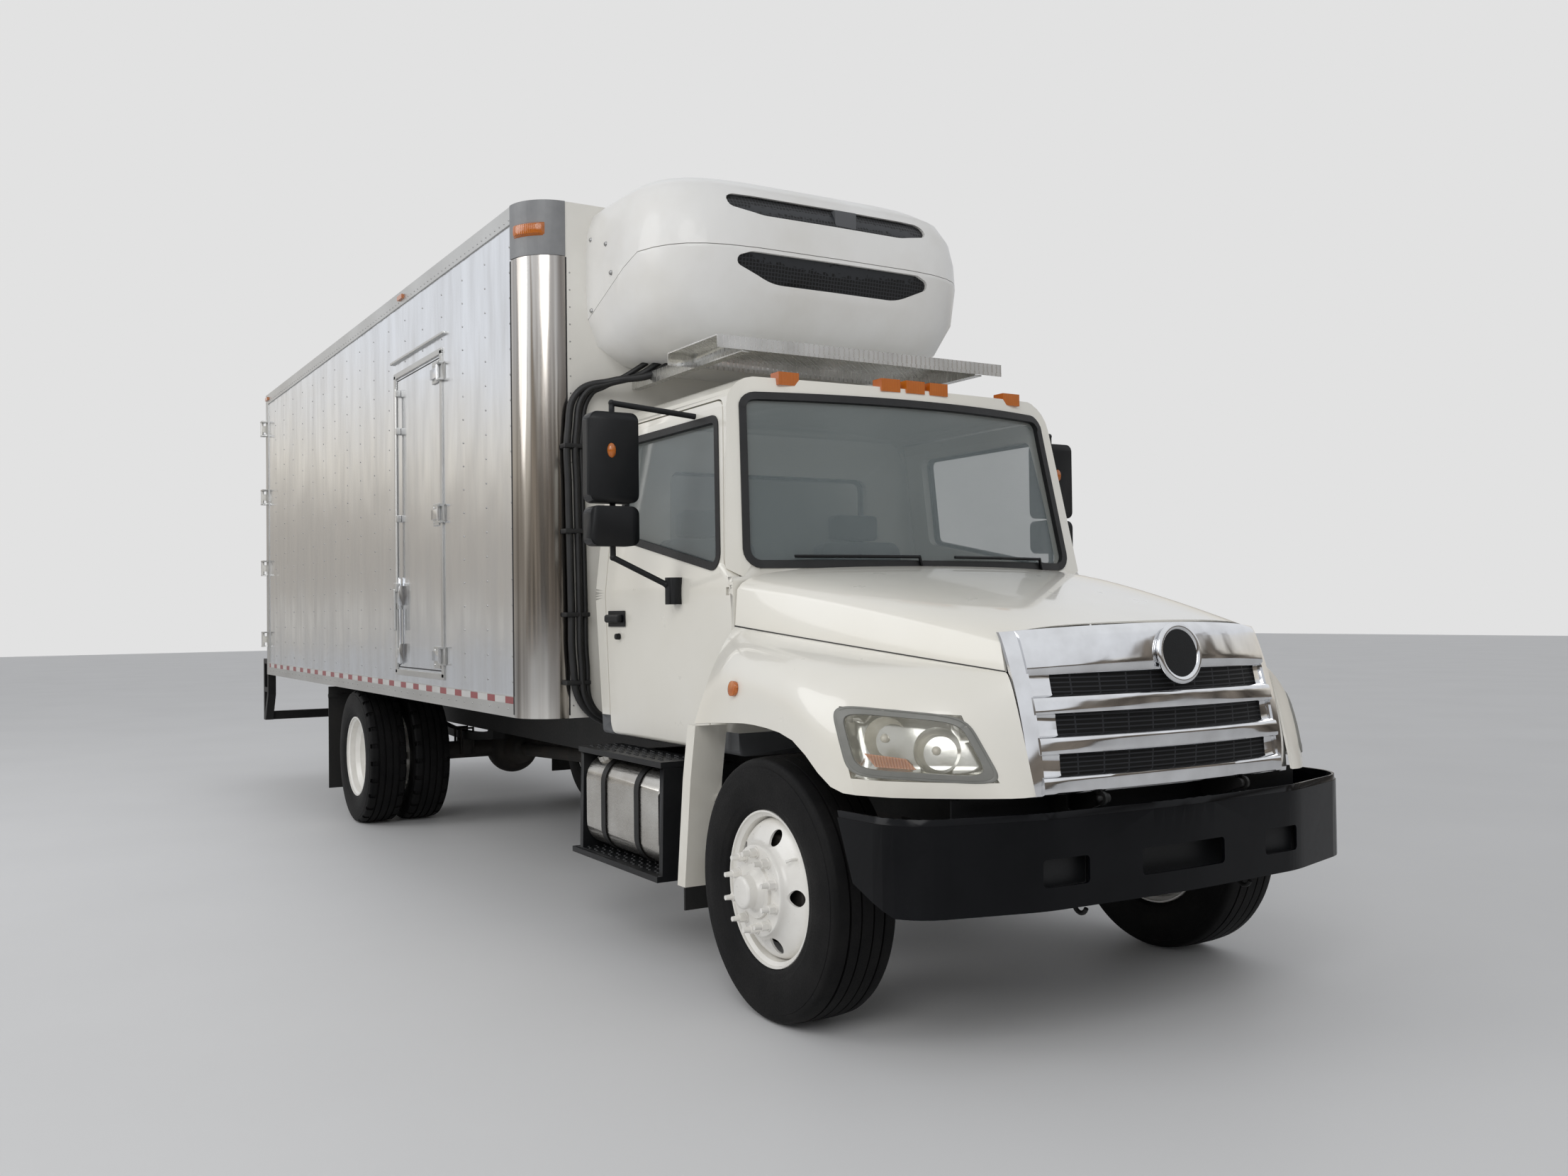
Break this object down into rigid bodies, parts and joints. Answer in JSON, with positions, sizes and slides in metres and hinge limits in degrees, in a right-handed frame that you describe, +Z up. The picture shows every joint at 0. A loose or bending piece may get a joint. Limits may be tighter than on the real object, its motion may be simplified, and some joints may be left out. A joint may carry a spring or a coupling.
{
  "type": "refrigerated truck",
  "caption": "Refrigerated box truck with a conventional cab, tilting hood, insulated load box with rear and side doors, and a cooling unit over the cab",
  "frame": {"origin": "Middle of the truck's length and width, at ground level under the tyres", "axes": "+X forward, +Y to the vehicle's left, +Z up"},
  "size_m": [10.459, 2.824, 3.725],
  "materials": {
    "frame_black": "satin",
    "cast_block": "rough",
    "exhaust_steel": "dull",
    "cab_paint": "gloss",
    "cab_trim": "matte",
    "glass": "clear tint",
    "seat_fabric": "woven",
    "black_plastic": "satin",
    "amber_lens": "gloss",
    "lamp_lens": "clear",
    "black_rubber": "matte",
    "tank_aluminium": "brushed",
    "floor_metal": "dull",
    "box_aluminium": "bright rolled",
    "box_steel": "polished",
    "white_panel": "gloss",
    "chrome": "mirror",
    "wheel_white": "gloss",
    "tyre": "matte"
  },
  "bodies": {
    "chassis": {"frame_rails": "frame_black", "front_axle": "frame_black", "rear_axle": "frame_black", "leaf_springs": "frame_black", "engine": "cast_block", "exhaust": "exhaust_steel", "cab_floor": "cab_trim", "cab_front": "cab_paint", "cab_back": "cab_paint", "cab_roof": "cab_paint", "cab_glass": "glass", "dashboard": "cab_trim", "seats": "seat_fabric", "wipers": "black_plastic", "marker_lamps": "amber_lens", "front_bumper": "frame_black", "mudguards": "cab_paint", "mudflaps": "black_rubber", "fuel_tank": "tank_aluminium", "battery_box": "black_plastic", "cab_steps": "frame_black", "box_floor": "floor_metal", "box_side_right": "box_aluminium", "box_side_left": "box_aluminium", "box_front_wall": "white_panel", "box_roof": "box_aluminium", "box_corners": "box_steel", "box_rear_frame": "box_steel", "unit_upper": "white_panel", "unit_lower": "white_panel", "unit_grilles": "black_plastic", "walkway": "tank_aluminium", "unit_hoses": "black_rubber", "rear_bumper": "frame_black"},
    "hood_body": {"hood": "cab_paint", "fenders": "cab_paint", "grille": "chrome", "grille_screen": "black_plastic", "front_lamps": "lamp_lens"},
    "door_right_body": {"door_right": "cab_paint", "door_glass_right": "glass", "mirrors_right": "black_plastic"},
    "door_left_body": {"door_left": "cab_paint", "door_glass_left": "glass", "mirrors_left": "black_plastic"},
    "side_door_body": {"side_door": "box_aluminium"},
    "rear_door_right_body": {"rear_door_right": "box_aluminium"},
    "rear_door_left_body": {"rear_door_left": "box_aluminium"},
    "knuckle_right_body": {"knuckle_right": "frame_black"},
    "knuckle_left_body": {"knuckle_left": "frame_black"},
    "tie_rod_body": {"tie_rod": "frame_black"},
    "steering_wheel_body": {"steering_wheel": "black_plastic"},
    "wheel_front_right_body": {"tyre_front_right": "tyre", "wheel_front_right": "wheel_white"},
    "wheel_front_left_body": {"tyre_front_left": "tyre", "wheel_front_left": "wheel_white"},
    "wheels_rear_right_body": {"tyres_rear_right": "tyre", "wheels_rear_right": "wheel_white"},
    "wheels_rear_left_body": {"tyres_rear_left": "tyre", "wheels_rear_left": "wheel_white"}
  },
  "joints": [
    {"name": "steer_left", "type": "hinge", "parent": "chassis", "child": "knuckle_left_body", "pos_m": [4.2, 0.85, 0.5], "axis": [0, 0, 1], "range_deg": [-36, 36]},
    {"name": "steer_right", "type": "hinge", "parent": "chassis", "child": "knuckle_right_body", "pos_m": [4.2, -0.85, 0.5], "axis": [0, 0, 1], "range_deg": [-36, 36]},
    {"name": "tie_rod_turn", "type": "hinge", "parent": "knuckle_left_body", "child": "tie_rod_body", "pos_m": [4, 0.85, 0.4], "axis": [0, 0, 1], "range_deg": [-36, 36]},
    {"name": "steering_wheel_turn", "type": "hinge", "parent": "chassis", "child": "steering_wheel_body", "pos_m": [3.19, 0.48, 1.64], "axis": [-0.6157, 0, 0.788], "range_deg": [-540, 540]},
    {"name": "wheel_front_left_spin", "type": "hinge", "parent": "knuckle_left_body", "child": "wheel_front_left_body", "pos_m": [4.2, 1.017, 0.5], "axis": [0, 1, 0], "continuous": true},
    {"name": "wheel_front_right_spin", "type": "hinge", "parent": "knuckle_right_body", "child": "wheel_front_right_body", "pos_m": [4.2, -1.017, 0.5], "axis": [0, 1, 0], "continuous": true},
    {"name": "wheels_rear_left_spin", "type": "hinge", "parent": "chassis", "child": "wheels_rear_left_body", "pos_m": [-1.77, 0.95, 0.5], "axis": [0, 1, 0], "continuous": true},
    {"name": "wheels_rear_right_spin", "type": "hinge", "parent": "chassis", "child": "wheels_rear_right_body", "pos_m": [-1.77, -0.95, 0.5], "axis": [0, 1, 0], "continuous": true},
    {"name": "cab_door_right", "type": "hinge", "parent": "chassis", "child": "door_right_body", "pos_m": [3.697, -1.002, 1.5], "axis": [0, 0, 1], "range_deg": [0, 70]},
    {"name": "cab_door_left", "type": "hinge", "parent": "chassis", "child": "door_left_body", "pos_m": [3.697, 1.002, 1.5], "axis": [0, 0, -1], "range_deg": [0, 70]},
    {"name": "hood_tilt", "type": "hinge", "parent": "chassis", "child": "hood_body", "pos_m": [5.185, 0, 0.89], "axis": [0, 1, 0], "range_deg": [0, 60]},
    {"name": "side_door_swing", "type": "hinge", "parent": "chassis", "child": "side_door_body", "pos_m": [0.624, -1.307, 2.17], "axis": [0, 0, 1], "range_deg": [0, 170]},
    {"name": "rear_door_right_swing", "type": "hinge", "parent": "chassis", "child": "rear_door_right_body", "pos_m": [-5.025, -1.325, 2.3], "axis": [0, 0, 1], "range_deg": [0, 260]},
    {"name": "rear_door_left_swing", "type": "hinge", "parent": "chassis", "child": "rear_door_left_body", "pos_m": [-5.025, 1.325, 2.3], "axis": [0, 0, -1], "range_deg": [0, 260]}
  ],
  "couplings": [
    {"joint": "steer_right", "follows": "steer_left", "ratio": 1},
    {"joint": "tie_rod_turn", "follows": "steer_left", "ratio": -1},
    {"joint": "steering_wheel_turn", "follows": "steer_left", "ratio": 15}
  ]
}
